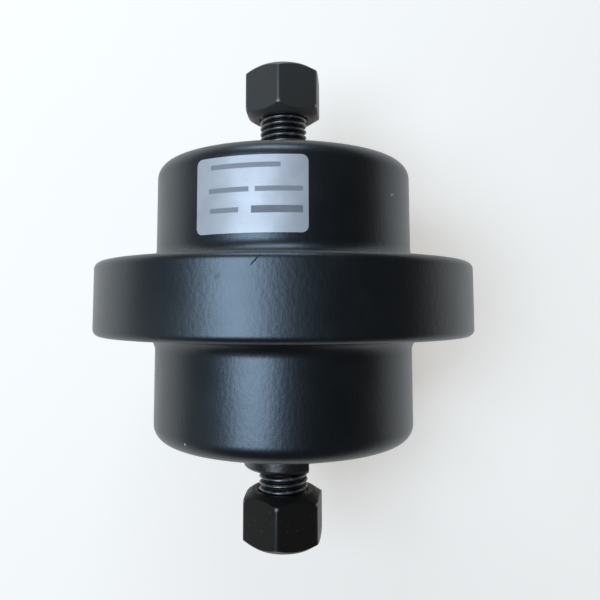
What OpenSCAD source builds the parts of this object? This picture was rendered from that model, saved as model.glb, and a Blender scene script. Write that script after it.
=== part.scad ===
// Track roller with a central flange, for the undercarriage of a small excavator.
// The roller turns about Y. The origin is the roller's centre and +Z is up.
// Sub-parts that exist on both sides are drawn on the +Y side and mirrored for the left (-Y) side.

/* [Roller shell] */
// Diameter of the two drums that the track runs on
drum_d = 84; // [82:1:90]
// Diameter of the central guide flange
flange_d = 122; // [112:1:130]
// Width of the shell along its axis
shell_w = 88.5; // [88:0.5:92]
// Width of the guide flange
flange_w = 22.6; // [18:0.2:24]
// Rounding of the drums' outer edges
drum_edge_r = 5.2; // [1:0.2:5.2]
// Rounding of the flange's edges
flange_edge_r = 2.2; // [0.4:0.2:4]
// Fillet between drum and flange
root_fillet_r = 5; // [1:0.5:6]

/* [Axle] */
// Diameter of the journals that run in the bushes
journal_d = 30; // [30:0.5:30.5]
// Diameter of the thrust shoulder in the middle
shoulder_d = 38.8; // [36:0.2:39.2]
// Width of the thrust shoulder
shoulder_w = 12; // [10:0.5:12]
// Diameter of the ends that sit in the track frame
spigot_d = 26; // [24:0.5:26]
// Distance from the roller's centre to the shoulder face at the left (-Y) end
left_face = 54.2; // [53:0.2:55]
// Distance from the roller's centre to the shoulder face at the right (+Y) end
right_face = 51.4; // [51:0.2:55]
// Diameter of the threaded ends over the crests
thread_d = 15.9; // [11.9:2:15.9]
// Overall length of the axle
axle_len = 159; // [158:0.5:161]
// Distance from the axis to the flat that keeps the axle from turning
flat_x = 8; // [8:0.25:9.5]

/* [Hex nuts] */
// Width across the flats
nut_af = 24; // [24:0.5:27]
// Height
nut_h = 17; // [13:0.5:17]
// Angle of the chamfers, from the nut's faces
nut_chamfer = 33.5; // [20:0.5:35]
// Distance from the roller's centre to the nut's inner face
nut_face = 61.5; // [60:0.25:61.5]

/* [Label] */
// Length of the label around the drum, in degrees
label_angle = 44.6; // [30:0.2:60]
// Direction of the label's left edge, in degrees from +Z towards +X
label_from = -35.3; // [-60:0.1:0]
// Width of the label along the axis
label_w = 21.4; // [15:0.1:21.4]

/* [Hidden] */

$fn = 96;
far = 200;              // longer than the part, for cuts that go right through
arc_steps = 8;          // points in each quarter arc of an outline

// radii, measured from the roller's axis
drum_r = drum_d / 2;
flange_r = flange_d / 2;
journal_r = journal_d / 2;
shoulder_r = shoulder_d / 2;
spigot_r = spigot_d / 2;
thread_r = thread_d / 2;
running_gap = 0.05;     // bush on journal, radial
slip_gap = 0.02;        // parts pushed together by hand, radial
nut_gap = 0.1;          // nut on thread, radial
seat_r = journal_r - 1; // where the collars sit on the axle
bush_r = 20;
bush_flange_r = 26;
reservoir_r = 24;       // oil space around the thrust shoulder
housing_r = 29.4;       // bore that holds a toric ring
collar_r = 33.4;
recess_r = 34;          // bore at the shell's ends, around the collar
mouth_chamfer = 0.8;    // at the shell's open ends
axle_chamfer = 0.8;     // on the plain ends of the axle
land_chamfer = 0.5;     // on the land outside the snap ring
tip_chamfer = 1.2;      // on the axle's threaded ends
collar_chamfer = 0.4;
lead_in = 0.6;          // chamfer in the nuts' bores

// places along the axis, measured from the roller's centre
shell_half = shell_w / 2;
shoulder_half = shoulder_w / 2;
reservoir_half = shoulder_half - 0.5;
bush_in = shoulder_half + 0.2;
bush_step = 23;         // the bush's flange sits on this step
bush_out = 25.3;
housing_floor = 25.5;
recess_floor = 32.6;
seal_plane = 32.4;      // where the two seal rings face each other
seal_film = 0.05;       // half the oil film between them
seat_from = 27;
collar_in = 27.2;
collar_back = recess_floor + 0.9;
collar_floor = 39.2;
collar_out = 42.3;
clip_w = 1.5;           // thickness of the snap ring
clip_from = collar_out + 0.05;
groove_from = collar_out + 0.03;
groove_to = clip_from + clip_w + 0.05;
land_to = 46;           // end of the land outside the snap ring
flat_from = 46.5;
axle_end = axle_len / 2;

// seal parts
toric_r = 27.1;         // from the axis to the middle of a toric ring's cord
toric_cord_r = 2.2;
o_ring_cord_r = 1.15;
o_ring_y = 31.7;
hub_r = 18.6;
o_groove_r = 16.4;
o_groove_half = 1.3;
groove_bottom_r = seat_r - 1.3;
toric_gap = 0.1;        // between a toric ring and the wall beside it
o_ring_gap = 0.03;      // between the O-ring and the axle

// snap ring
clip_r = seat_r + 2.6;
eye_r = 2.2;
eye_hole_r = 0.9;
eye_at = clip_r - 0.6;
eye_angle = 20;
clip_opening = 5.6;

// hex nuts
nut_corner_r = nut_af / sqrt(3);
nut_face_r = nut_af * 0.43;
nut_chamfer_h = (nut_corner_r - nut_face_r) * tan(nut_chamfer);
left_corner = -9;       // direction of one corner, in degrees from +Z towards +X
right_corner = -7;

// oil way
oil_way_r = 1.5;
plug_r = 2.5;
plug_len = 5;
plug_recess = 0.5;
socket_af = 2.5;        // hexagon socket in the plug
socket_depth = 1.6;

// label film
film = 0.15;
film_gap = 0.02;
label_out = shell_half - drum_edge_r - 0.05;

steel = "dimgray";
dark_steel = "#2e2f30";
paint = "#22262b";
iron = "slategray";
bronze = "#b08a4a";
nitrile = "#1b1b1b";
foil = "#c9d6e6";

// Points of an arc around c from angle a to angle b, in degrees
function arc(c, r, a, b) =
    [for (i = [0:arc_steps]) let (t = a + (b - a) * i / arc_steps) c + r * [cos(t), sin(t)]];

// The same outline on the other side of the roller's centre, run backwards to close the loop
function other_side(points) =
    [for (i = [len(points) - 1:-1:0]) [points[i].x, -points[i].y]];

// Solid of revolution about Y from points [radius, place along Y]
module turned(points, angle = 360) {
    rotate([-90, 0, 0]) rotate_extrude(angle = angle) polygon(points);
}

// Round cord of radius cord_r bent into a ring around Y
module ring_cord(ring_r, cord_r, y) {
    translate([0, y, 0]) rotate([-90, 0, 0]) rotate_extrude() translate([ring_r, 0]) circle(cord_r, $fn = 32);
}

// Cylinder along +Y from y
module rod(r, y, length) {
    translate([0, y, 0]) rotate([-90, 0, 0]) cylinder(r = r, h = length);
}

module left() {
    mirror([0, 1, 0]) children();
}

module roller_shell() {
    half = concat(
        [[reservoir_r, reservoir_half], [bush_r, reservoir_half],
         [bush_r, bush_step], [bush_flange_r + slip_gap, bush_step],
         [bush_flange_r + slip_gap, housing_floor], [housing_r, housing_floor],
         [housing_r, recess_floor], [recess_r, recess_floor],
         [recess_r, shell_half - mouth_chamfer], [recess_r + mouth_chamfer, shell_half]],
        arc([drum_r - drum_edge_r, shell_half - drum_edge_r], drum_edge_r, 90, 0),
        arc([drum_r + root_fillet_r, flange_w / 2 + root_fillet_r], root_fillet_r, 180, 270),
        arc([flange_r - flange_edge_r, flange_w / 2 - flange_edge_r], flange_edge_r, 90, 0));
    color(paint) turned(concat(half, other_side(half)));
}

// Outline of the axle from its middle to one end, whose shoulder face is at face
function axle_end_outline(face) = [
    [shoulder_r, shoulder_half], [journal_r, shoulder_half], [journal_r, seat_from],
    [seat_r, seat_from], [seat_r, groove_from], [groove_bottom_r, groove_from],
    [groove_bottom_r, groove_to], [seat_r, groove_to], [seat_r, land_to - land_chamfer],
    [seat_r - land_chamfer, land_to], [spigot_r, land_to], [spigot_r, face - axle_chamfer],
    [spigot_r - axle_chamfer, face], [thread_r, face], [thread_r, axle_end - tip_chamfer],
    [thread_r - tip_chamfer, axle_end], [0, axle_end]];

module axle() {
    color(steel) difference() {
        turned(concat(axle_end_outline(right_face), other_side(axle_end_outline(left_face))));
        translate([flat_x, flat_from, -far / 2]) cube([far, right_face + 1 - flat_from, far]);
        left() translate([flat_x, flat_from, -far / 2]) cube([far, left_face + 1 - flat_from, far]);
        rod(oil_way_r, 0, axle_end + 1);
        rod(plug_r, axle_end - plug_recess - plug_len, far);
        cylinder(r = oil_way_r, h = shoulder_r + 1);
    }
}

module oil_plug() {
    top = axle_end - plug_recess;
    color(bronze) difference() {
        rod(plug_r - slip_gap, top - plug_len, plug_len);
        rod(socket_af / sqrt(3), top - socket_depth, far, $fn = 6);
    }
}

module collar() {
    bore_r = seat_r + slip_gap;
    color(iron) turned([
        [bore_r, collar_in], [hub_r, collar_in], [hub_r, collar_floor], [housing_r, collar_floor],
        [housing_r, collar_back], [collar_r, collar_back], [collar_r, collar_out - collar_chamfer],
        [collar_r - collar_chamfer, collar_out], [bore_r, collar_out],
        [bore_r, o_ring_y + o_groove_half], [o_groove_r, o_ring_y + o_groove_half],
        [o_groove_r, o_ring_y - o_groove_half], [bore_r, o_ring_y - o_groove_half]]);
}

// Puts its child at both eyes of the snap ring
module at_eyes() {
    for (side = [-1, 1])
        rotate([0, 0, 90 + side * eye_angle]) translate([eye_at, 0, 0]) children();
}

// C-shaped ring with two eyes, open towards -Z
module snap_ring() {
    color(dark_steel) translate([0, clip_from, 0]) rotate([-90, 0, 0]) difference() {
        union() {
            cylinder(r = clip_r, h = clip_w);
            at_eyes() cylinder(r = eye_r, h = clip_w);
        }
        translate([0, 0, -1]) cylinder(r = groove_bottom_r + slip_gap, h = clip_w + 2);
        translate([-clip_opening / 2, 0, -1]) cube([clip_opening, far, clip_w + 2]);
        at_eyes() translate([0, 0, -1]) cylinder(r = eye_hole_r, h = clip_w + 2);
    }
}

module collar_o_ring() {
    color(nitrile) ring_cord(seat_r + o_ring_cord_r + o_ring_gap, o_ring_cord_r, o_ring_y);
}

// Seal ring whose lapped face looks towards the seal plane; out is +1 for the ring nearer the roller's end
module seal_ring(out) {
    points = [[19, 6.2], [24.2, 6.2], [24.8, 2.1], [28.6, 2.1],
              [28.6, seal_film], [24.5, seal_film], [19, 0.8]];
    color(iron) turned([for (p = points) [p.x, seal_plane + out * p.y]]);
}

module static_toric() {
    color(nitrile) ring_cord(toric_r, toric_cord_r, collar_floor - toric_cord_r - toric_gap);
}

module rotating_toric() {
    color(nitrile) ring_cord(toric_r, toric_cord_r, housing_floor + toric_cord_r + toric_gap);
}

module bush() {
    bore_r = journal_r + running_gap;
    color(bronze) turned([
        [bore_r, bush_in], [bush_r, bush_in], [bush_r, bush_step], [bush_flange_r, bush_step],
        [bush_flange_r, bush_out], [bore_r, bush_out]]);
}

module label() {
    inner_r = drum_r + film_gap;
    color(foil) rotate([0, label_from - 90, 0]) turned([
        [inner_r, label_out - label_w], [inner_r + film, label_out - label_w],
        [inner_r + film, label_out], [inner_r, label_out]], label_angle);
}

// Hex nut chamfered on both faces; corner is the direction of one corner, in degrees from +Z towards +X
module nut(corner) {
    bore_r = thread_r + nut_gap;
    color(dark_steel) difference() {
        intersection() {
            translate([0, nut_face, 0]) rotate([-90, 0, 0]) rotate([0, 0, corner - 90])
                cylinder(r = nut_corner_r, h = nut_h, $fn = 6);
            turned([[0, nut_face], [nut_face_r, nut_face], [nut_corner_r, nut_face + nut_chamfer_h],
                    [nut_corner_r, nut_face + nut_h - nut_chamfer_h], [nut_face_r, nut_face + nut_h],
                    [0, nut_face + nut_h]]);
        }
        turned([[0, nut_face - 1], [bore_r + lead_in + 1, nut_face - 1], [bore_r, nut_face + lead_in],
                [bore_r, nut_face + nut_h - lead_in], [bore_r + lead_in + 1, nut_face + nut_h + 1],
                [0, nut_face + nut_h + 1]]);
    }
}

axle();
oil_plug();
left() collar();  // left_collar
collar();  // right_collar
left() snap_ring();  // left_snap_ring
snap_ring();  // right_snap_ring
left() collar_o_ring();  // left_collar_o_ring
collar_o_ring();  // right_collar_o_ring
left() seal_ring(1);  // left_static_seal_ring
seal_ring(1);  // right_static_seal_ring
left() static_toric();  // left_static_toric
static_toric();  // right_static_toric
roller_shell();
left() bush();  // left_bush
bush();  // right_bush
left() seal_ring(-1);  // left_rotating_seal_ring
seal_ring(-1);  // right_rotating_seal_ring
left() rotating_toric();  // left_rotating_toric
rotating_toric();  // right_rotating_toric
label();
left() nut(left_corner);  // left_nut
nut(right_corner);  // right_nut
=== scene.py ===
"""Visual model of a track roller: a flanged drum on an axle with threaded ends and two hex nuts.

The scene is in metres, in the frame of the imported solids: +Y runs along the axle towards the drum with
the label, +Z is up, and the roller turns about Y. Outlines are written in millimetres, as points of
(radius, place along Y), and are scaled when a mesh is made. An azimuth is an angle about Y in degrees,
from +Z towards +X.
"""
import logging
import math
from dataclasses import dataclass, field
from enum import Enum
from functools import cache
from typing import Callable, Sequence

import bmesh
import bpy
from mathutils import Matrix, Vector


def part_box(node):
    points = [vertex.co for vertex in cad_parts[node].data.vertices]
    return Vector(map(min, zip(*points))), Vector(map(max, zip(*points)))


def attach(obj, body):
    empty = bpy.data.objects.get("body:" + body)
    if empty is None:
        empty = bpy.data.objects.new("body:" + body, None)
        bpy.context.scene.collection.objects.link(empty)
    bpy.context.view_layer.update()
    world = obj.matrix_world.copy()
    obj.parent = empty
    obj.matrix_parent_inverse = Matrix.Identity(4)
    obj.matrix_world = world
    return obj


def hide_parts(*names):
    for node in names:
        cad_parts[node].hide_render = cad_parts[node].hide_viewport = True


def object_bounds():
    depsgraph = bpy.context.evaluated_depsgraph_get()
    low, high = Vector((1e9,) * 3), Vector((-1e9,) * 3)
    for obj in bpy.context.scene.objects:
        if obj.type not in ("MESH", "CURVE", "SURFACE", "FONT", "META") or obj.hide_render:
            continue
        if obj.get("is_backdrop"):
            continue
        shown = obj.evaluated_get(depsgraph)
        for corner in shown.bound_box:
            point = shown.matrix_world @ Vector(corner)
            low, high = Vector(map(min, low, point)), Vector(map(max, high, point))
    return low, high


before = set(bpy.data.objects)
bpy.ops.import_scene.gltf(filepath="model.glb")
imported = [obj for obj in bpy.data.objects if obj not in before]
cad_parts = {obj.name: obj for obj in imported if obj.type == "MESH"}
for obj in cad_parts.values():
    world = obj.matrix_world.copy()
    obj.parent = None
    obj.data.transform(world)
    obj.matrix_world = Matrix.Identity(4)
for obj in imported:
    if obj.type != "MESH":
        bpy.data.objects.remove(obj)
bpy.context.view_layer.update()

log = logging.getLogger("track_roller")

Point = tuple[float, float]
Colour = tuple[float, float, float]
Setting = object

MM = 0.001
WELD = 2e-7             # metres; points nearer than this are one point
SHARP = math.radians(38)


class Side(Enum):
    """The two ends of the roller, with the sign of their Y."""

    LEFT = -1
    RIGHT = 1

    @property
    def word(self) -> str:
        """The word that the solids' names start with."""
        return self.name.lower()


@cache
def solid_box(node: str) -> tuple[Vector, Vector]:
    """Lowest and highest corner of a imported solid, in mm."""
    low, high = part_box(node)
    return low / MM, high / MM


# ---------------------------------------------------------------- outlines


def arc(centre: Point, radius: float, start: float, stop: float, steps: int = 12) -> list[Point]:
    """Points of a circular arc.

    Args:
        centre: middle of the circle.
        radius: its radius.
        start: angle of the first point, in degrees.
        stop: angle of the last point, in degrees.
        steps: number of straight pieces.

    Returns:
        The points from start to stop, both included.
    """
    angles = [math.radians(start + (stop - start) * i / steps) for i in range(steps + 1)]
    return [(centre[0] + radius * math.cos(t), centre[1] + radius * math.sin(t)) for t in angles]


def mirrored(points: Sequence[Point]) -> list[Point]:
    """The same outline on the other side of the roller's centre, run backwards."""
    return [(r, -y) for r, y in reversed(points)]


def along(a: Point, b: Point, distance: float) -> Point:
    """The point at a distance from a on the way to b."""
    length = math.dist(a, b)
    if length == 0:
        return a
    return (a[0] + (b[0] - a[0]) * distance / length, a[1] + (b[1] - a[1]) * distance / length)


def softened(
    points: Sequence[Point], radius: float, ring: bool, every: bool = False, steps: int = 4
) -> list[Point]:
    """Rounds the corners of an outline.

    Args:
        points: the outline.
        radius: how far from a corner the rounding starts, in mm.
        ring: True if the last point joins the first.
        every: True to cut every corner with the same number of points, so that outlines stay in step.
        steps: straight pieces in each rounding.

    Returns:
        The rounded outline.
    """
    out: list[Point] = []
    count = len(points)
    for i, corner in enumerate(points):
        if not ring and i in (0, count - 1):
            out.append(corner)
            continue
        before, after = points[i - 1], points[(i + 1) % count]
        heading_in = math.atan2(corner[1] - before[1], corner[0] - before[0])
        heading_out = math.atan2(after[1] - corner[1], after[0] - corner[0])
        turn = abs(math.remainder(heading_out - heading_in, math.tau))
        if not every and turn < math.radians(20):
            out.append(corner)
            continue
        reach = min(radius, 0.42 * math.dist(before, corner), 0.42 * math.dist(corner, after))
        a, b = along(corner, before, reach), along(corner, after, reach)
        for k in range(steps + 1):
            s = k / steps
            weights = ((1 - s) ** 2, 2 * s * (1 - s), s * s)
            out.append(tuple(weights[0] * a[n] + weights[1] * corner[n] + weights[2] * b[n] for n in (0, 1)))
    return out


def braced(points: Sequence[Point], ring: bool, gap: float = 0.3) -> list[Point]:
    """Adds a point near both ends of each long straight, so that smooth shading stays flat along it."""
    out: list[Point] = []
    count = len(points)
    for i, here in enumerate(points):
        out.append(here)
        if not ring and i == count - 1:
            break
        there = points[(i + 1) % count]
        if math.dist(here, there) > 4 * gap:
            out.append(along(here, there, gap))
            out.append(along(there, here, gap))
    return out


# ---------------------------------------------------------------- meshes


def turn_of(count: int) -> list[float]:
    """Azimuths of evenly spaced columns all the way round."""
    return [360 * i / count for i in range(count)]


def place(radius: float, azimuth: float, y: float) -> Vector:
    """The point in metres for a radius and a place along Y in mm, and an azimuth in degrees."""
    t = math.radians(azimuth)
    return Vector((radius * math.sin(t), y, radius * math.cos(t))) * MM


@dataclass
class Skin:
    """A mesh made of columns of points, each column at one azimuth.

    Fields:
        name: the piece's name.
    """

    name: str
    mesh: bmesh.types.BMesh = field(default_factory=bmesh.new)

    def add(
        self,
        azimuths: Sequence[float],
        profile: Callable[[float], Sequence[Point]],
        ring: bool = False,
        round_trip: bool = True,
        capped: bool = False,
    ) -> None:
        """Adds one grid of faces.

        Args:
            azimuths: where the columns stand.
            profile: gives the outline of the column at an azimuth. All have the same number of points.
            ring: True if each outline closes on itself.
            round_trip: True if the last column joins the first.
            capped: True to close the first and the last column, whose outlines are rings.
        """
        grid = [[self.mesh.verts.new(place(r, a, y)) for r, y in profile(a)] for a in azimuths]
        columns, rows = len(grid), len(grid[0])
        for i in range(columns if round_trip else columns - 1):
            here, there = grid[i], grid[(i + 1) % columns]
            for j in range(rows if ring else rows - 1):
                k = (j + 1) % rows
                self.mesh.faces.new((here[j], here[k], there[k], there[j]))
        if capped:
            for column in (grid[0], grid[-1]):
                half = rows // 2
                for j in range(half - 1):
                    quad = (column[j], column[j + 1], column[rows - 2 - j], column[rows - 1 - j])
                    self.mesh.faces.new(quad)

    def done(self) -> bpy.types.Object:
        """Welds the grids, turns their faces outwards and makes the object."""
        bmesh.ops.remove_doubles(self.mesh, verts=self.mesh.verts, dist=WELD)
        bmesh.ops.dissolve_degenerate(self.mesh, edges=self.mesh.edges, dist=WELD)
        loose = [v for v in self.mesh.verts if not v.link_faces]
        bmesh.ops.delete(self.mesh, geom=loose, context="VERTS")
        bmesh.ops.recalc_face_normals(self.mesh, faces=self.mesh.faces)
        data = bpy.data.meshes.new(self.name)
        self.mesh.to_mesh(data)
        self.mesh.free()
        return shaded(self.name, data)


def shaded(name: str, data: bpy.types.Mesh) -> bpy.types.Object:
    """An object in the scene with smooth faces and crisp edges."""
    data.shade_smooth()
    data.set_sharp_from_angle(angle=SHARP)
    piece = bpy.data.objects.new(name, data)
    bpy.context.scene.collection.objects.link(piece)
    return piece


def lathe(
    name: str, points: Sequence[Point], columns: int, ring: bool = True, edge: float = 0.3
) -> bpy.types.Object:
    """A turned piece.

    Args:
        name: the piece's name.
        points: outline in mm.
        columns: number of columns round the axis.
        ring: True if the outline closes on itself, False if it starts and ends on the axis.
        edge: rounding of its sharp corners, in mm.

    Returns:
        The piece.
    """
    outline = braced(softened(points, edge, ring), ring)
    skin = Skin(name)
    skin.add(turn_of(columns), lambda _: outline, ring=ring)
    return skin.done()


def fit(piece: bpy.types.Object, finish: "Finish", body: str, slot: str, *nodes: str) -> None:
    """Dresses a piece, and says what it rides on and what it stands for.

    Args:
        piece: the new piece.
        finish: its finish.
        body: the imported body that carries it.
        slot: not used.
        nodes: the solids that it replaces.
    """
    piece.data.materials.clear()
    piece.data.materials.append(finish.material())
    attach(piece, body)
    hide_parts(*nodes)
    log.info("%s: %d faces, on %s, for %s", piece.name, len(piece.data.polygons), body, ", ".join(nodes))


# ---------------------------------------------------------------- shader graph


class Wire:
    """An output socket that takes part in arithmetic."""

    def __init__(self, graph: "Graph", socket: bpy.types.NodeSocket) -> None:
        """Keeps the socket and the graph that new nodes go into."""
        self.graph = graph
        self.socket = socket

    def _math(self, operation: str, first: "Value", second: "Value") -> "Wire":
        """A Math node of two values."""
        return self.graph.node("ShaderNodeMath", {"operation": operation}, {0: first, 1: second})

    def __add__(self, other: "Value") -> "Wire":
        """Sum."""
        return self._math("ADD", self, other)

    __radd__ = __add__

    def __sub__(self, other: "Value") -> "Wire":
        """Difference."""
        return self._math("SUBTRACT", self, other)

    def __rsub__(self, other: "Value") -> "Wire":
        """Difference with this wire taken away."""
        return self._math("SUBTRACT", other, self)

    def __mul__(self, other: "Value") -> "Wire":
        """Product."""
        return self._math("MULTIPLY", self, other)

    __rmul__ = __mul__

    def __truediv__(self, other: "Value") -> "Wire":
        """Quotient."""
        return self._math("DIVIDE", self, other)

    def __pow__(self, other: "Value") -> "Wire":
        """Power."""
        return self._math("POWER", self, other)

    def size(self) -> "Wire":
        """The value without its sign."""
        return self.graph.node("ShaderNodeMath", {"operation": "ABSOLUTE"}, {0: self})

    def most(self, other: "Value") -> "Wire":
        """The higher of two values."""
        return self._math("MAXIMUM", self, other)


Value = Wire | float


@dataclass(frozen=True)
class Polar:
    """Where a point of the surface is: azimuth in degrees, radius and place along Y in mm."""

    azimuth: Wire
    radius: Wire
    y: Wire


class Graph:
    """The node tree of one material."""

    def __init__(self, name: str) -> None:
        """Makes an empty material of that name."""
        self.material = bpy.data.materials.new(name)
        self.material.use_nodes = True
        self.tree = self.material.node_tree
        self.tree.nodes.clear()

    def node(
        self,
        kind: str,
        settings: dict[str, Setting] | None = None,
        sockets: dict[int | str, Setting] | None = None,
        out: int | str = 0,
    ) -> Wire:
        """Makes a node.

        Args:
            kind: the node's type.
            settings: its properties, set first. "stops" gives a ramp's places and colours.
            sockets: the value or the wire of each input, by name or number.
            out: which output to return.

        Returns:
            That output.
        """
        made = self.tree.nodes.new(kind)
        for key, value in (settings or {}).items():
            if key == "stops":
                ramp = made.color_ramp.elements
                while len(ramp) < len(value):
                    ramp.new(1.0)
                for element, (spot, colour) in zip(ramp, value):
                    element.position = spot
                    element.color = (*colour, 1.0)
            else:
                setattr(made, key, value)
        for key, value in (sockets or {}).items():
            if isinstance(value, Wire):
                self.tree.links.new(value.socket, made.inputs[key])
            else:
                made.inputs[key].default_value = value
        return Wire(self, made.outputs[out])

    def place(self) -> Wire:
        """The surface point in mm, fixed to the piece."""
        spot = self.node("ShaderNodeTexCoord", out="Object")
        return self.stretched(spot, (1000.0, 1000.0, 1000.0))

    def stretched(self, vector: Wire, scale: Colour) -> Wire:
        """A vector times a scale for each axis."""
        return self.node("ShaderNodeVectorMath", {"operation": "MULTIPLY"}, {0: vector, 1: scale})

    def polar(self) -> Polar:
        """The surface point about the roller's axis."""
        spot = self.place()
        x, y, z = (self.node("ShaderNodeSeparateXYZ", sockets={0: spot}, out=i) for i in range(3))
        turn = self.node("ShaderNodeMath", {"operation": "ARCTAN2"}, {0: x, 1: z})
        return Polar(turn * math.degrees(1), (x * x + z * z) ** 0.5, y)

    def vector(self, x: Value, y: Value, z: Value) -> Wire:
        """A vector from three values."""
        return self.node("ShaderNodeCombineXYZ", sockets={0: x, 1: y, 2: z})

    def noise(self, vector: Wire, scale: float, detail: float = 2.0, roughness: float = 0.5) -> Wire:
        """Smooth noise from 0 to 1.

        Args:
            vector: where it is read, in mm.
            scale: lumps per mm.
            detail: number of finer layers.
            roughness: strength of the finer layers.

        Returns:
            The value.
        """
        sockets = {"Vector": vector, "Scale": scale, "Detail": detail, "Roughness": roughness}
        return self.node("ShaderNodeTexNoise", {"noise_dimensions": "3D"}, sockets)

    def rise(self, value: Wire, low: float, high: float) -> Wire:
        """A smooth step: 0 up to low, 1 from high on."""
        sockets = {"Value": value, "From Min": low, "From Max": high, "To Min": 0.0, "To Max": 1.0}
        return self.node("ShaderNodeMapRange", {"interpolation_type": "SMOOTHSTEP"}, sockets)

    def fall(self, value: Wire, low: float, high: float) -> Wire:
        """A smooth step the other way: 1 up to low, 0 from high on."""
        return 1.0 - self.rise(value, low, high)

    def band(self, value: Wire, low: float, high: float, soft: float) -> Wire:
        """1 between low and high, with soft edges."""
        return self.rise(value, low - soft, low + soft) * self.fall(value, high - soft, high + soft)

    def mix(self, factor: Value, first: Wire | Colour, second: Wire | Colour) -> Wire:
        """A colour between two, by a factor from 0 to 1."""
        ends = [c if isinstance(c, Wire) else (*c, 1.0) for c in (first, second)]
        return self.node("ShaderNodeMix", {"data_type": "RGBA"}, {0: factor, 6: ends[0], 7: ends[1]}, out=2)

    def bump(self, height: Wire, depth: float, under: Wire | None = None) -> Wire:
        """A normal bent by a height.

        Args:
            height: from 0 to 1.
            depth: what a height of 1 is, in mm.
            under: a normal bent before, if any.

        Returns:
            The normal.
        """
        sockets: dict[int | str, Setting] = {"Height": height, "Distance": depth * MM, "Strength": 1.0}
        if under is not None:
            sockets["Normal"] = under
        return self.node("ShaderNodeBump", None, sockets)

    def turning_marks(self, at: Polar, pitch: float) -> Wire:
        """Fine rings left by a turning tool, from 0 to 1, that follow any turned face."""
        rings = self.vector(at.radius / pitch, at.y / pitch, at.azimuth * 0.004)
        return self.noise(rings, 1.0, 3.0, 0.6)

    def shader(self, **sockets: Setting) -> bpy.types.Material:
        """Ends the graph in a Principled shader.

        Args:
            sockets: its inputs by name, with _ for a space.

        Returns:
            The material.
        """
        named = {key.replace("_", " "): value for key, value in sockets.items()}
        surface = self.node("ShaderNodeBsdfPrincipled", None, named)
        self.node_output(surface)
        return self.material

    def node_output(self, surface: Wire) -> None:
        """Joins a shader to the material's output."""
        end = self.tree.nodes.new("ShaderNodeOutputMaterial")
        self.tree.links.new(surface.socket, end.inputs["Surface"])


# ---------------------------------------------------------------- finishes


@dataclass(frozen=True)
class Mark:
    """A small long mark on a turned face.

    Fields:
        azimuth, y: its middle, in degrees and mm.
        length, width: half its length and half its width, in mm.
        lean: its direction, in degrees from the roller's circumference towards +Y.
        solid: how much of it is at full strength, before it fades out.
    """

    azimuth: float
    y: float
    length: float
    width: float
    lean: float
    solid: float = 0.9

    def mask(self, graph: Graph, at: Polar, radius: float, waver: Wire) -> Wire:
        """1 on the mark and 0 off it.

        Args:
            graph: the material's graph.
            at: the surface point.
            radius: of the face that the mark is on, in mm.
            waver: noise that roughens the mark's edge.

        Returns:
            The mask.
        """
        u = (at.azimuth - self.azimuth) * (radius * math.radians(1))
        v = at.y - self.y
        c, s = math.cos(math.radians(self.lean)), math.sin(math.radians(self.lean))
        lengthwise = (u * c + v * s) / self.length
        crosswise = (v * c - u * s) / self.width
        return graph.fall(lengthwise * lengthwise + crosswise * crosswise + waver, self.solid, 1.5)


class Finish:
    """A finish that makes its material once."""

    made: dict[str, bpy.types.Material] = {}

    def material(self) -> bpy.types.Material:
        """The material, made on first use."""
        key = repr(self)
        if key not in Finish.made:
            Finish.made[key] = self.make()
        return Finish.made[key]

    def make(self) -> bpy.types.Material:
        """Builds the material."""
        raise NotImplementedError


@dataclass(frozen=True)
class BlackPaint(Finish):
    """Semi-gloss black paint over a forged and turned shell, with orange peel and small knocks."""

    drum_radius: float
    flange_radius: float
    colour: Colour = (0.0032, 0.0037, 0.0042)
    thin: Colour = (0.0062, 0.0062, 0.0056)
    chip: Colour = (0.42, 0.42, 0.40)
    scuff: Colour = (0.0045, 0.005, 0.006)
    roughness: float = 0.37
    gloss: float = 0.88
    sheen: Colour = (0.84, 0.93, 1.0)
    peel_depth: float = 0.045

    def make(self) -> bpy.types.Material:
        """Builds the material."""
        g = Graph("Paint_semi_gloss_black")
        at, spot = g.polar(), g.place()
        streaky = g.stretched(spot, (1.0, 0.55, 1.0))
        peel = g.noise(streaky, 0.95, 2.0, 0.5)
        fine = g.noise(spot, 3.2, 2.0, 0.6)
        clouds = g.noise(spot, 0.06, 3.0, 0.55)
        waver = (g.noise(spot, 2.4, 2.0) - 0.5) * 1.2
        drum = (
            Mark(50.0, 30.7, 0.9, 0.28, 18.0),
            Mark(55.7, 24.5, 0.45, 0.3, 30.0),
            Mark(-40.8, -40.4, 0.35, 0.3, 0.0),
        )
        scratch, smudge = Mark(-6.2, 8.8, 1.6, 0.17, 46.0), Mark(-15.0, 5.0, 0.95, 0.7, 60.0, -0.6)
        chips = drum[0].mask(g, at, self.drum_radius, waver)
        for mark in drum[1:]:
            chips = chips.most(mark.mask(g, at, self.drum_radius, waver))
        cuts = scratch.mask(g, at, self.flange_radius, waver)
        cuts = cuts.most(smudge.mask(g, at, self.flange_radius, waver * 0.5) * 0.25)
        colour = g.mix(g.rise(clouds, 0.42, 0.68), self.colour, self.thin)
        colour = g.mix(chips, colour, self.chip)
        colour = g.mix(cuts, colour, self.scuff)
        normal = g.bump(peel + fine * 0.18, self.peel_depth)
        normal = g.bump(1.0 - chips.most(cuts * 0.5), 0.05, normal)
        uneven = (clouds - 0.5) * 0.14 + (fine - 0.5) * 0.06
        return g.shader(
            Base_Color=colour,
            Roughness=self.roughness + uneven + chips * 0.25 + cuts * 0.4,
            Normal=normal,
            Specular_IOR_Level=self.gloss,
            Specular_Tint=(*self.sheen, 1.0),
        )


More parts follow.
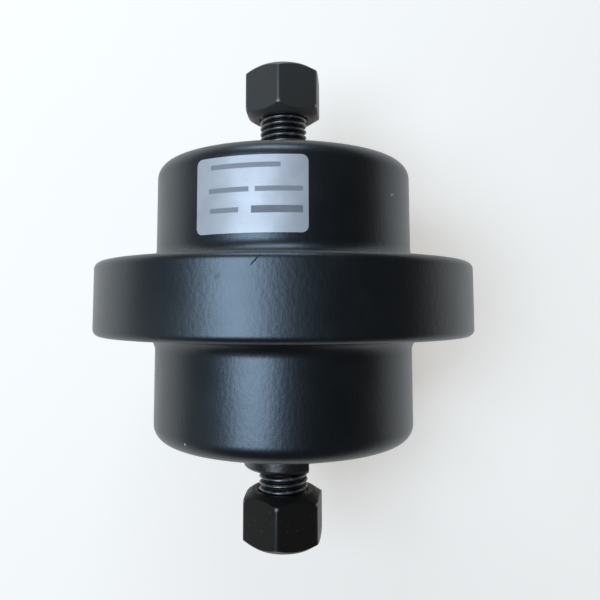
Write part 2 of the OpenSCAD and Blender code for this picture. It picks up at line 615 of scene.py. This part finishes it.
@dataclass(frozen=True)
class AxleSteel(Finish):
    """Turned steel, oiled and darkened, with brown mottling, dark thread roots and rubbed crests."""

    crest: float
    root: float
    tip: float
    thread_from: float = 50.5
    steel: Colour = (0.105, 0.102, 0.096)
    brown: Colour = (0.050, 0.034, 0.023)
    dark: Colour = (0.022, 0.021, 0.019)
    bright: Colour = (0.34, 0.335, 0.325)

    def make(self) -> bpy.types.Material:
        """Builds the material."""
        g = Graph("Axle_steel_oiled")
        at, spot = g.polar(), g.place()
        rings = g.turning_marks(at, 0.35)
        stains = g.noise(spot, 0.45, 4.0, 0.62)
        specks = g.noise(spot, 2.2, 3.0, 0.6)
        plain = g.mix(g.rise(stains, 0.42, 0.66), self.steel, self.brown)
        plain = g.mix(g.rise(specks, 0.6, 0.75), plain, self.dark)
        on_thread = g.band(at.y.size(), self.thread_from, self.tip - 0.1, 0.05)
        on_thread = on_thread * g.fall(at.radius, self.crest + 0.01, self.crest + 0.04)
        rubbed = g.rise(at.radius + (stains - 0.5) * 0.5, self.root + 0.45, self.crest - 0.05)
        thread = g.mix(rubbed, self.dark, self.bright)
        return g.shader(
            Base_Color=g.mix(on_thread, plain, thread),
            Metallic=0.92 - g.rise(stains, 0.5, 0.7) * 0.35,
            Roughness=0.34 + (stains - 0.5) * 0.3 + (1.0 - rubbed) * on_thread * 0.22,
            Normal=g.bump(specks * 0.5, 0.03, g.bump(rings, 0.02)),
        )


@dataclass(frozen=True)
class NutSteel(Finish):
    """Black oxide on a forged nut, rubbed on the corners, with a few spots of rust and a painted glint at
    the inner end of each corner.
    """

    corner_radius: float
    rust_amount: float
    inner_face: float
    black: Colour
    rubbing: float
    browning: Colour = (1.05, 0.92, 0.78)
    rubbed: Colour = (0.24, 0.235, 0.23)
    # Pale colour painted at the inner end of each corner, in place of a highlight there.
    glint_paint: Colour = (0.60, 0.58, 0.55)
    rust: Colour = (0.11, 0.045, 0.02)

    def make(self) -> bpy.types.Material:
        """Builds the material."""
        g = Graph("Nut_black_oxide_%d" % round(self.rust_amount * 100))
        at, spot = g.polar(), g.place()
        clouds = g.noise(spot, 0.28, 3.0, 0.55)
        grain = g.noise(spot, 3.5, 3.0, 0.6)
        patches = g.noise(spot, 0.85, 4.0, 0.65)
        brownish = tuple(a * b for a, b in zip(self.black, self.browning))
        colour = g.mix(g.rise(clouds, 0.35, 0.7), self.black, brownish)
        corner, rust = self.corner_radius, self.rust_amount
        corners = g.rise(at.radius + (grain - 0.5) * 0.35, corner - 0.5, corner - 0.12)
        rusty = g.rise(patches, 0.72 - 0.1 * rust, 0.80 - 0.06 * rust) * rust
        colour = g.mix(corners * self.rubbing, colour, self.rubbed)
        from_face = at.y.size() - self.inner_face
        # Painted glint: a pale, less metallic spot at the inner end of every corner, near the chamfer,
        # stands in for the light's highlight.
        painted_glint = g.rise(at.radius + (grain - 0.5) * 0.3, corner - 0.45, corner - 0.2)
        painted_glint = painted_glint * g.fall(from_face + (grain - 0.5) * 0.6, 2.6, 3.4)
        colour = g.mix(rusty, colour, self.rust)
        # Painted highlight: the glint colour laid on the corners' inner ends.
        colour = g.mix(painted_glint * 0.4, colour, self.glint_paint)
        return g.shader(
            Base_Color=colour,
            Metallic=0.55 - rusty * 0.5 - painted_glint * 0.3,
            Roughness=0.46 + (clouds - 0.5) * 0.2 + rusty * 0.3 - corners * 0.1,
            Normal=g.bump(grain + clouds * 0.8, 0.035),
        )


@dataclass(frozen=True)
class TurnedMetal(Finish):
    """A bare turned metal with fine tool rings and a little staining."""

    name: str
    colour: Colour
    stain: Colour
    roughness: float
    pitch: float = 0.4
    ring_depth: float = 0.03

    def make(self) -> bpy.types.Material:
        """Builds the material."""
        g = Graph(self.name)
        at, spot = g.polar(), g.place()
        rings = g.turning_marks(at, self.pitch)
        stains = g.noise(spot, 0.16, 4.0, 0.6)
        grain = g.noise(spot, 2.6, 3.0, 0.6)
        return g.shader(
            Base_Color=g.mix(g.rise(stains + (grain - 0.5) * 0.3, 0.4, 0.7), self.colour, self.stain),
            Metallic=1.0,
            Roughness=self.roughness + (rings - 0.5) * 0.16 + (stains - 0.5) * 0.18,
            Normal=g.bump(grain, 0.012, g.bump(rings, self.ring_depth)),
        )


@dataclass(frozen=True)
class Rubber(Finish):
    """Matt black nitrile with a fine mould grain."""

    colour: Colour = (0.016, 0.016, 0.017)
    bloom: Colour = (0.032, 0.032, 0.034)

    def make(self) -> bpy.types.Material:
        """Builds the material."""
        g = Graph("Nitrile_rubber")
        spot = g.place()
        grain = g.noise(spot, 4.0, 3.0, 0.6)
        clouds = g.noise(spot, 0.3, 3.0, 0.5)
        return g.shader(
            Base_Color=g.mix(g.rise(clouds, 0.4, 0.7), self.colour, self.bloom),
            Roughness=0.58 + (grain - 0.5) * 0.2,
            Normal=g.bump(grain, 0.02),
        )


@dataclass(frozen=True)
class LabelFoil(Finish):
    """Matt silver foil with plain printed rules in place of any words."""

    foil: Colour = (0.50, 0.48, 0.47)
    sheen: Colour = (0.55, 0.53, 0.52)
    ink: Colour = (0.20, 0.20, 0.21)
    bold: Colour = (0.12, 0.12, 0.125)

    def rules(self, g: Graph, at: Polar, spans: Sequence[Point], low: float, high: float) -> Wire:
        """A row of printed rules.

        Args:
            g: the material's graph.
            at: the surface point.
            spans: first and last azimuth of each rule.
            low: lower edge along Y.
            high: upper edge along Y.

        Returns:
            1 on the rules and 0 off them.
        """
        row = None
        for start, stop in spans:
            one = g.band(at.azimuth, start, stop, 0.12)
            row = one if row is None else row.most(one)
        return row * g.band(at.y, low, high, 0.08)

    def make(self) -> bpy.types.Material:
        """Builds the material."""
        g = Graph("Label_foil_matt_silver")
        at, spot = g.polar(), g.place()
        brushed = g.noise(g.stretched(spot, (0.25, 5.0, 0.25)), 1.0, 3.0, 0.6)
        clouds = g.noise(spot, 0.12, 2.0, 0.5)
        first = self.rules(g, at, ((-28.7, -1.0),), 35.5, 36.9)
        second = self.rules(g, at, ((-29.5, -13.0), (-10.6, 7.2)), 28.9, 30.3)
        third = self.rules(g, at, ((-29.0, -17.0),), 23.3, 24.7)
        heavy = self.rules(g, at, ((-12.0, 7.2),), 23.0, 25.0)
        print_grain = 0.82 + (brushed - 0.5) * 0.3
        colour = g.mix(g.rise(clouds, 0.35, 0.65), self.foil, self.sheen)
        thin = first.most(second).most(third) * print_grain
        colour = g.mix(thin, colour, self.ink)
        colour = g.mix(heavy * print_grain, colour, self.bold)
        printed = thin.most(heavy)
        return g.shader(
            Base_Color=colour,
            Metallic=0.35 * (1.0 - printed),
            Roughness=0.48 + (brushed - 0.5) * 0.12 + printed * 0.1,
            Normal=g.bump(clouds * 1.5 + brushed * 0.02, 0.12),
        )


@dataclass(frozen=True)
class PaleBench(Finish):
    """The pale floor: matt card with a faint tooth."""

    colour: Colour = (0.74, 0.66, 0.58)
    shade: Colour = (0.71, 0.635, 0.56)
    glow: Colour = (1.0, 0.96, 0.90)
    glow_strength: float = 0.46

    def make(self) -> bpy.types.Material:
        """Builds the material."""
        g = Graph("Floor_pale_card")
        spot = g.place()
        clouds = g.noise(spot, 0.01, 3.0, 0.5)
        tooth = g.noise(spot, 1.2, 3.0, 0.6)
        return g.shader(
            Base_Color=g.mix(clouds, self.colour, self.shade),
            Roughness=0.8 + (tooth - 0.5) * 0.1,
            Normal=g.bump(tooth, 0.03),
            Emission_Color=(*self.glow, 1.0),
            Emission_Strength=self.glow_strength,
        )


# ---------------------------------------------------------------- sub-assemblies


@dataclass
class RollerBody:
    """The painted shell: two drums, the guide flange between them, and the bores for bushes and seals."""

    finish: Finish
    drum_radius: float
    edge_radius: float = 5.2
    fillet_radius: float = 5.0
    flange_half: float = 11.3
    flange_edge: float = 2.2
    columns: int = 256
    bore: tuple[Point, ...] = (
        (24.0, 5.5), (20.0, 5.5), (20.0, 23.0), (26.02, 23.0), (26.02, 25.5),
        (29.4, 25.5), (29.4, 32.6), (34.0, 32.6),
    )
    mouth: float = 34.0
    mouth_chamfer: float = 0.8

    def outline(self) -> list[Point]:
        """The closed outline, from the middle of the bore to the +Y end and back round the outside."""
        high = solid_box("roller_shell")[1]
        end, rim = high.y, high.x
        half = list(self.bore)
        half += [(self.mouth, end - self.mouth_chamfer), (self.mouth + self.mouth_chamfer, end)]
        edge, tip = self.edge_radius, self.flange_edge
        half += arc((self.drum_radius - edge, end - edge), edge, 90, 0, 14)
        corner = (self.drum_radius + self.fillet_radius, self.flange_half + self.fillet_radius)
        half += arc(corner, self.fillet_radius, 180, 270, 14)
        half += arc((rim - tip, self.flange_half - tip), tip, 90, 0, 10)
        return half + mirrored(half)

    def build(self) -> None:
        """Turns and paints the shell."""
        piece = lathe("Roller_body_painted", self.outline(), self.columns, edge=0.35)
        fit(piece, self.finish, "roller", "black_paint", "roller_shell")


@dataclass
class Axle:
    """The axle: shoulder, journals, collar seats with ring grooves, plain ends with a flat, and threads."""

    finish: Finish
    crest: float
    root: float
    pitch: float
    left_face: float
    right_face: float
    columns: int = 128
    flat: float = 8.0
    flat_from: float = 46.5
    spigot: float = 13.0
    spigot_chamfer: float = 0.8
    end_chamfer: float = 1.2
    oil_way: float = 1.5
    plug_hole: float = 2.5
    plug_depth: float = 5.5
    middle: tuple[Point, ...] = (
        (14.0, 42.33), (12.7, 42.33), (12.7, 43.9), (14.0, 43.9), (14.0, 45.5), (13.5, 46.0), (13.0, 46.0),
    )
    journal: tuple[Point, ...] = ((19.4, 6.0), (15.0, 6.0), (15.0, 27.0), (14.0, 27.0))
    form: tuple[Point, ...] = (
        (0.00, 0.000), (0.10, 0.060), (0.15, 0.200), (0.42, 0.920), (0.46, 1.000),
        (0.54, 1.000), (0.58, 0.920), (0.85, 0.200), (0.90, 0.060),
    )

    def end(self) -> float:
        """Where the axle ends, in mm."""
        return solid_box("axle")[1].y

    def face_on(self, side: Side) -> float:
        """How far from the middle the plain end stops on one side, in mm."""
        return self.right_face if side is Side.RIGHT else self.left_face

    def azimuths(self) -> list[float]:
        """Evenly spaced columns, with the nearest ones moved onto the edges of the flat."""
        out = turn_of(self.columns)
        step = 360 / self.columns
        for radius in (self.spigot, self.spigot - self.spigot_chamfer):
            edge = math.degrees(math.asin(self.flat / radius))
            for angle in (edge, 180 - edge):
                out[round(angle / step)] = angle
        return out

    def thread_radius(self, azimuth: float, y: float) -> float:
        """Radius of the right-handed thread at a point.

        Args:
            azimuth: in degrees.
            y: place along the axis in mm.

        Returns:
            The radius in mm, with the chamfer at the axle's end.
        """
        phase = (y / self.pitch - azimuth / 360) % 1.0
        spots = [*self.form, (1.0, 0.0)]
        for (p0, h0), (p1, h1) in zip(spots, spots[1:]):
            if phase <= p1:
                height = h0 + (h1 - h0) * (phase - p0) / (p1 - p0)
                break
        radius = self.root + (self.crest - self.root) * height
        return min(radius, self.crest - max(0.0, abs(y) - (self.end() - self.end_chamfer)))

    def half(self, azimuth: float, side: Side) -> list[Point]:
        """Outline from the shoulder to the start of one thread for one column, with its y made positive."""
        sine = math.sin(math.radians(azimuth))
        level = min(self.spigot, self.flat / sine) if sine > 0 else self.spigot
        rim = self.spigot - self.spigot_chamfer
        face = self.face_on(side)
        return [
            *self.journal, *self.middle, (self.spigot, self.flat_from), (level, self.flat_from),
            (level, face - max(0.0, level - rim)), (min(level, rim), face),
            (self.thread_radius(azimuth, side.value * face), face),
        ]

    def core(self, azimuth: float) -> list[Point]:
        """Outline of the axle between its threads, for one column."""
        points = [*mirrored(self.half(azimuth, Side.LEFT)), *self.half(azimuth, Side.RIGHT)]
        return softened(points, 0.25, ring=False, every=True, steps=3)

    def helix(self, azimuth: float, side: Side) -> list[Point]:
        """Outline of one thread for one column; a full turn moves it by one pitch."""
        near, far = sorted((side.value * self.face_on(side), side.value * self.end()))
        turns = range(math.floor(near / self.pitch) - 2, math.ceil(far / self.pitch) + 2)
        rows = [self.pitch * (k + p + azimuth / 360) for k in turns for p, _ in self.form]
        clamped = [min(max(y, near), far) for y in rows]
        return [(self.thread_radius(azimuth, y), y) for y in clamped]

    def build(self) -> None:
        """Makes the axle as one welded piece."""
        skin = Skin("Axle_threaded")
        around = self.azimuths()
        skin.add(around, self.core)
        for side in Side:
            skin.add([*around, 360.0], lambda a, s=side: self.helix(a, s), round_trip=False)
        tip = self.end()
        bottom = tip - self.plug_depth
        hole = [(self.plug_hole + 0.3, tip), (self.plug_hole, tip - 0.3), (self.plug_hole, bottom)]
        hole += [(self.oil_way, bottom), (self.oil_way, 0.0), (0.0, 0.0)]
        skin.add(around, lambda a: [(self.thread_radius(a, tip), tip), *hole])
        skin.add(around, lambda a: [(self.thread_radius(a, -tip), -tip), (0.0, -tip)])
        fit(skin.done(), self.finish, "axle", "axle_steel", "axle")


def hexagon(azimuth: float, corner: float, across: float, rounding: float) -> float:
    """Radius of a hexagon with rounded corners.

    Args:
        azimuth: direction in degrees.
        corner: azimuth of one corner.
        across: distance between opposite flats.
        rounding: radius of the corners.

    Returns:
        The radius in that direction.
    """
    off = math.radians(math.remainder(azimuth - corner, 60))
    flat = across / 2 / math.cos(math.radians(30) - abs(off))
    middle = across / math.sqrt(3) - rounding / math.cos(math.radians(30))
    inside = rounding**2 - (middle * math.sin(off)) ** 2
    if inside <= 0:
        return flat
    return min(flat, middle * math.cos(off) + math.sqrt(inside))


def hex_azimuths(corner: float, touch: float, between: int) -> list[float]:
    """Columns for a hexagon: close together at the corners and evenly spaced between them.

    Args:
        corner: azimuth of one corner.
        touch: degrees from a corner to where its rounding ends.
        between: columns on each flat.

    Returns:
        The azimuths.
    """
    out = []
    for k in range(6):
        out += [corner + 60 * k + touch * f for f in (-1.0, -0.6, -0.2, 0.2, 0.6, 1.0)]
        span = 60 - 2 * touch
        out += [corner + 60 * k + touch + span * i / (between + 1) for i in range(1, between + 1)]
    return out


@dataclass
class HexNut:
    """A thick hex nut with rounded corners and a deep chamfer on both faces."""

    side: Side
    finish: Finish
    corner: float
    across: float = 24.0
    face_radius: float = 10.32
    chamfer: float = 33.5
    bore: float = 8.05
    lead_in: float = 0.6
    rounding: float = 0.5

    def profile(self, azimuth: float) -> list[Point]:
        """Closed outline of one column, from the bore round the outside."""
        low, high = (corner.y for corner in solid_box(f"{self.side.word}_nut"))
        outer = hexagon(azimuth, self.corner, self.across, self.rounding)
        drop = max(0.02, (outer - self.face_radius) * math.tan(math.radians(self.chamfer)))
        points = [
            (self.bore, low + self.lead_in), (self.bore, high - self.lead_in),
            (self.bore + self.lead_in, high),
            (self.face_radius, high), (outer, high - drop), (outer, low + drop),
            (self.face_radius, low), (self.bore + self.lead_in, low),
        ]
        return softened(points, 0.28, ring=True, every=True, steps=4)

    def build(self) -> None:
        """Makes the nut."""
        name = self.side.word
        skin = Skin(f"{name.title()}_nut_forged")
        skin.add(hex_azimuths(self.corner, 1.5, 14), self.profile, ring=True)
        fit(skin.done(), self.finish, f"{name}_nut", "nut_steel", f"{name}_nut")


@dataclass
class OilPlug:
    """The small screw that closes the oil way at the +Y end."""

    finish: Finish
    socket_across: float = 2.5
    socket_depth: float = 1.6

    def build(self) -> None:
        """Makes the plug with its hexagon socket."""
        low, high = solid_box("oil_plug")
        radius, inner = high.x, high.y - self.socket_depth

        def profile(azimuth: float) -> list[Point]:
            """Outline of one column."""
            key = hexagon(azimuth, 0.0, self.socket_across, 0.1)
            return [
                (0.0, inner - 0.4), (key, inner), (key, high.y - 0.1), (key + 0.1, high.y),
                (radius - 0.3, high.y), (radius, high.y - 0.3), (radius, low.y + 0.3),
                (radius - 0.3, low.y), (0.0, low.y),
            ]

        skin = Skin("Oil_plug_screw")
        skin.add(hex_azimuths(0.0, 1.5, 8), profile)
        fit(skin.done(), self.finish, "axle", "bronze", "oil_plug")


@dataclass
class EndSeal:
    """What closes one end of the roller: collar, snap ring, O-ring, seal rings and toric rings."""

    side: Side
    iron: Finish
    spring: Finish
    rubber: Finish
    seal_plane: float = 32.4
    toric_ring: float = 27.1
    toric_cord: float = 2.2
    o_ring: float = 15.18
    o_ring_cord: float = 1.15
    ring_inner: float = 12.72
    ring_outer: float = 16.6
    eye_radius: float = 2.2
    eye_hole: float = 0.9
    eye_at: float = 16.0
    eye_angle: float = 20.0
    opening: float = 5.6
    collar: tuple[Point, ...] = (
        (14.02, 27.2), (18.6, 27.2), (18.6, 39.2), (29.4, 39.2), (29.4, 33.5), (33.4, 33.5), (33.4, 41.9),
        (33.0, 42.3), (14.02, 42.3), (14.02, 33.0), (16.4, 33.0), (16.4, 30.4), (14.02, 30.4),
    )
    seal: tuple[Point, ...] = (
        (19.0, 6.2), (24.2, 6.2), (24.8, 2.1), (28.6, 2.1), (28.6, 0.05), (24.5, 0.05), (19.0, 0.8),
    )

    def turned(self, kind: str, points: Sequence[Point], columns: int, edge: float) -> bpy.types.Object:
        """Turns a piece from its outline on the +Y side."""
        outline = [(r, y * self.side.value) for r, y in points]
        return lathe(f"{self.side.word.title()}_{kind}", outline, columns, edge=edge)

    def cord_outline(self, ring: float, cord: float, node: str) -> list[Point]:
        """Round outline of a ring's cord, at the place of its solid."""
        low, high = solid_box(node)
        middle = abs(low.y + high.y) / 2
        return arc((ring, middle), cord, 0, 360, 28)[:-1]

    def snap_ring(self) -> bpy.types.Object:
        """Cuts the snap ring from sheet: a C with two eyes at its opening, which faces -Z."""
        low, high = (corner.y for corner in solid_box(f"{self.side.word}_snap_ring"))
        bevel = 0.15
        gap = math.degrees(math.asin(self.opening / 2 / self.ring_outer))
        gap_inner = math.degrees(math.asin(self.opening / 2 / self.ring_inner))
        crossing = self.eye_at**2 + self.ring_outer**2 - self.eye_radius**2
        spread = math.degrees(math.acos(crossing / (2 * self.eye_at * self.ring_outer)))

        def on_ring(radius: float, angle: float) -> Point:
            """A point of the ring at an angle from -Z."""
            return (radius * math.sin(math.radians(angle)), -radius * math.cos(math.radians(angle)))

        eye = on_ring(self.eye_at, self.eye_angle)

        def eye_arc(steps: int) -> list[Point]:
            """Outside of the right eye, from its crossing nearer the opening to the farther one."""
            ends = [on_ring(self.ring_outer, self.eye_angle + d * spread) for d in (-1, 1)]
            turns = [math.degrees(math.atan2(z - eye[1], x - eye[0])) for x, z in ends]
            return arc(eye, self.eye_radius, turns[0], turns[1], steps)

        right = [on_ring(self.ring_inner, gap_inner), on_ring(self.ring_outer, gap)] + eye_arc(20)
        after = self.eye_angle + spread
        right += [on_ring(self.ring_outer, after + (180 - after) * i / 60) for i in range(1, 61)]
        outer = right + [(-x, z) for x, z in reversed(right[:-1])]
        angles = [-180 + (180 - gap_inner) * i / 60 for i in range(60)]
        inner = [on_ring(self.ring_inner, angle) for angle in angles]
        inner = [(x, z) for x, z in reversed(inner)]
        inner_right = [(-x, z) for x, z in reversed(inner[:-1])]
        loop = outer + inner + inner_right
        holes = [arc((sign * eye[0], eye[1]), self.eye_hole, 0, 360, 20)[:-1] for sign in (-1, 1)]
        curve = bpy.data.curves.new("snap_ring_outline", "CURVE")
        curve.dimensions = "2D"
        curve.fill_mode = "BOTH"
        curve.extrude = ((high - low) / 2 - bevel) * MM
        curve.bevel_depth = bevel * MM
        curve.bevel_resolution = 2
        curve.offset = -bevel * MM
        for points in (loop, *holes):
            spline = curve.splines.new("POLY")
            spline.points.add(len(points) - 1)
            for point, (x, z) in zip(spline.points, points):
                point.co = (x * MM, z * MM, 0.0, 1.0)
            spline.use_cyclic_u = True
        flat = bpy.data.objects.new("snap_ring_flat", curve)
        bpy.context.scene.collection.objects.link(flat)
        bpy.context.view_layer.update()
        data = bpy.data.meshes.new_from_object(flat.evaluated_get(bpy.context.evaluated_depsgraph_get()))
        bpy.data.objects.remove(flat)
        sheet = bmesh.new()
        sheet.from_mesh(data)
        for v in sheet.verts:
            x, z, depth = v.co
            v.co = (x, (low + high) / 2 * MM + depth, z)
        bmesh.ops.remove_doubles(sheet, verts=sheet.verts, dist=1e-6)
        bmesh.ops.recalc_face_normals(sheet, faces=sheet.faces)
        sheet.to_mesh(data)
        sheet.free()
        return shaded(f"{self.side.word.title()}_snap_ring_sprung", data)

    def build(self) -> None:
        """Makes and dresses the end's pieces."""
        word = self.side.word
        collar = self.turned("collar_turned", self.collar, 192, 0.3)
        fit(collar, self.iron, "axle", "seal_iron", f"{word}_collar")
        fit(self.snap_ring(), self.spring, "axle", "spring_steel", f"{word}_snap_ring")
        o_ring = self.cord_outline(self.o_ring, self.o_ring_cord, f"{word}_collar_o_ring")
        piece = self.turned("o_ring_moulded", o_ring, 128, 0.0)
        fit(piece, self.rubber, "axle", "nitrile", f"{word}_collar_o_ring")
        for half, body, out in (("static", "axle", 1), ("rotating", "roller", -1)):
            toric = self.cord_outline(self.toric_ring, self.toric_cord, f"{word}_{half}_toric")
            piece = self.turned(f"{half}_toric_moulded", toric, 160, 0.0)
            fit(piece, self.rubber, body, "nitrile", f"{word}_{half}_toric")
            seal = [(r, self.seal_plane + out * d) for r, d in self.seal]
            piece = self.turned(f"{half}_seal_lapped", seal, 160, 0.15)
            fit(piece, self.iron, body, "seal_iron", f"{word}_{half}_seal_ring")


@dataclass
class Bush:
    """A flanged bronze bush between the shell and the axle."""

    side: Side
    finish: Finish
    bore: float = 15.05
    radius: float = 20.0
    flange: float = 26.0
    step: float = 23.0

    def build(self) -> None:
        """Turns the bush."""
        node = f"{self.side.word}_bush"
        ends = sorted(abs(corner.y) for corner in solid_box(node))
        points = [
            (self.bore, ends[0]), (self.radius, ends[0]), (self.radius, self.step),
            (self.flange, self.step), (self.flange, ends[1]), (self.bore, ends[1]),
        ]
        outline = [(r, y * self.side.value) for r, y in points]
        piece = lathe(f"{self.side.word.title()}_bush_turned", outline, 160, edge=0.3)
        fit(piece, self.finish, "roller", "bronze", node)


@dataclass
class Label:
    """The foil label on the drum at the +Y end."""

    finish: Finish
    drum_radius: float
    start: float = -35.3
    stop: float = 9.3
    corner: float = 1.9
    film: float = 0.15
    lift: float = 0.02
    columns: int = 64
    rows: int = 12

    def azimuths(self) -> list[float]:
        """Columns: close together at the rounded corners and evenly spaced between them."""
        turn = math.degrees(self.corner / self.drum_radius)
        ease = [turn * (1 - math.cos(math.radians(90 * i / 10))) for i in range(10)]
        span = self.stop - self.start - 2 * turn
        middle = [self.start + turn + span * i / self.columns for i in range(self.columns + 1)]
        return [self.start + e for e in ease] + middle + [self.stop - e for e in reversed(ease)]

    def profile(self, azimuth: float) -> list[Point]:
        """Closed outline of one column: up the front of the film and down its back."""
        low, high = (corner.y for corner in solid_box("label"))
        inside = min(azimuth - self.start, self.stop - azimuth) * math.radians(1) * self.drum_radius
        short = self.corner - inside
        cut = self.corner - math.sqrt(max(0.0, self.corner**2 - short**2)) if short > 0 else 0.0
        back, front = self.drum_radius + self.lift, self.drum_radius + self.lift + self.film
        ends = (low + cut, high - cut)
        ys = [ends[0] + (ends[1] - ends[0]) * i / self.rows for i in range(self.rows + 1)]
        return [(front, y) for y in ys] + [(back, y) for y in reversed(ys)]

    def build(self) -> None:
        """Makes the label."""
        skin = Skin("Label_foil")
        skin.add(self.azimuths(), self.profile, ring=True, round_trip=False, capped=True)
        fit(skin.done(), self.finish, "roller", "label_foil", "label")


# ---------------------------------------------------------------- studio


@dataclass(frozen=True)
class Lamp:
    """A soft rectangular light that faces the roller.

    Fields:
        azimuth: its direction about Y, in degrees from +Z towards +X.
        lean: degrees from that direction towards +Y.
        distance: from the roller's centre, in metres.
        wide, long: its size across and along Y, in metres.
        radiance: brightness of its face.
        tint: its colour.
    """

    name: str
    azimuth: float
    lean: float
    distance: float
    wide: float
    long: float
    radiance: float
    tint: Colour

    def build(self) -> None:
        """Hangs the light."""
        light = bpy.data.lights.new(self.name, "AREA")
        light.shape = "RECTANGLE"
        light.size, light.size_y = self.wide, self.long
        light.energy = self.radiance * math.pi * self.wide * self.long
        light.color = self.tint
        a, e = math.radians(self.azimuth), math.radians(self.lean)
        out = Vector((math.sin(a) * math.cos(e), math.sin(e), math.cos(a) * math.cos(e)))
        across = Vector((math.cos(a), 0.0, -math.sin(a)))
        lengthwise = out.cross(across)
        lamp = bpy.data.objects.new(self.name, light)
        turn = lamp.matrix_world.to_3x3()
        turn.col[0], turn.col[1], turn.col[2] = across, lengthwise, out
        lamp.matrix_world = turn.to_4x4()
        lamp.location = out * self.distance
        bpy.context.scene.collection.objects.link(lamp)


@dataclass
class Studio:
    """The pale floor, the lights and the dim surroundings."""

    floor: Finish
    reach: float = 3.0
    surroundings: Colour = (1.0, 0.96, 0.90)
    dimness: float = 0.05
    lamps: tuple[Lamp, ...] = (
        Lamp("Long_soft_window", -25.0, 0.0, 1.0, 0.56, 0.62, 8.6, (0.60, 0.78, 1.0)),
        Lamp("High_end_window", -18.0, 62.0, 1.0, 0.6, 0.16, 13.0, (0.66, 0.82, 1.0)),
        Lamp("Left_side_window", -75.0, 0.0, 1.2, 0.9, 1.4, 0.15, (0.55, 0.74, 1.0)),
    )

    def build(self) -> None:
        """Lays the floor, hangs the lights and sets the surroundings."""
        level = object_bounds()[0].z
        mesh = bmesh.new()
        bmesh.ops.create_grid(mesh, x_segments=8, y_segments=8, size=self.reach)
        data = bpy.data.meshes.new("Floor")
        mesh.to_mesh(data)
        mesh.free()
        floor = bpy.data.objects.new("Floor", data)
        floor.location.z = level
        bpy.context.scene.collection.objects.link(floor)
        data.materials.append(self.floor.material())
        floor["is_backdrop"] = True
        for lamp in self.lamps:
            lamp.build()
        world = bpy.data.worlds.new("Surroundings")
        world.use_nodes = True
        sky = world.node_tree.nodes["Background"]
        sky.inputs["Color"].default_value = (*self.surroundings, 1.0)
        sky.inputs["Strength"].default_value = self.dimness
        bpy.context.scene.world = world
        bpy.context.scene.view_settings.view_transform = "Standard"
        log.info("studio: floor at %.4f m and %d lights", level, len(self.lamps))


@dataclass
class Viewpoint:
    """The camera: close above the roller, looking down with the axle upright in the view."""

    place: tuple[float, float, float] = (0.0, -0.00205, 0.1983)
    tilt: float = 4.84
    lens: float = 35.22
    shift: Point = (0.02765, -0.0732)

    def build(self) -> None:
        """Sets up the camera."""
        data = bpy.data.cameras.new("Camera")
        data.sensor_width = 36.0
        data.lens = self.lens
        data.shift_x, data.shift_y = self.shift
        data.clip_start = 0.01
        camera = bpy.data.objects.new("Camera", data)
        camera.location = self.place
        camera.rotation_euler = (math.radians(self.tilt), 0.0, 0.0)
        bpy.context.scene.collection.objects.link(camera)
        bpy.context.scene.camera = camera
        log.info("camera at %.4f m above the axis", self.place[2])


# ---------------------------------------------------------------- main


def main() -> None:
    """Builds the roller, the studio and the camera."""
    logging.basicConfig(level=logging.INFO, format="%(name)s: %(message)s")
    drum, crest, root, pitch, left_face, right_face = 42.0, 7.95, 6.77, 2.0, 54.2, 51.4
    flange = solid_box("roller_shell")[1].x
    tip = solid_box("axle")[1].y
    nut_face = solid_box("right_nut")[0].y
    nut_corner = HexNut.across / math.sqrt(3)
    dull, duller = (0.075, 0.074, 0.070), (0.020, 0.018, 0.014)
    iron = TurnedMetal("Collar_iron_turned", (0.30, 0.30, 0.31), (0.19, 0.18, 0.165), 0.36)
    spring = TurnedMetal(
        "Spring_steel_phosphated", (0.12, 0.12, 0.125), (0.07, 0.068, 0.065), 0.44, 1.2, 0.01
    )
    bronze = TurnedMetal("Bronze_turned", (0.62, 0.42, 0.20), (0.42, 0.27, 0.13), 0.30)
    rubber = Rubber()
    RollerBody(BlackPaint(drum, flange), drum).build()
    Axle(AxleSteel(crest, root, tip), crest, root, pitch, left_face, right_face).build()
    OilPlug(bronze).build()
    for side in Side:
        EndSeal(side, iron, spring, rubber).build()
        Bush(side, bronze).build()
    HexNut(Side.LEFT, NutSteel(nut_corner, 1.0, nut_face, duller, 0.12), -9.0).build()
    HexNut(Side.RIGHT, NutSteel(nut_corner, 0.3, nut_face, dull, 0.3), -7.0).build()
    Label(LabelFoil(), drum).build()
    Studio(PaleBench()).build()
    Viewpoint().build()


if __name__ == "__main__":
    main()
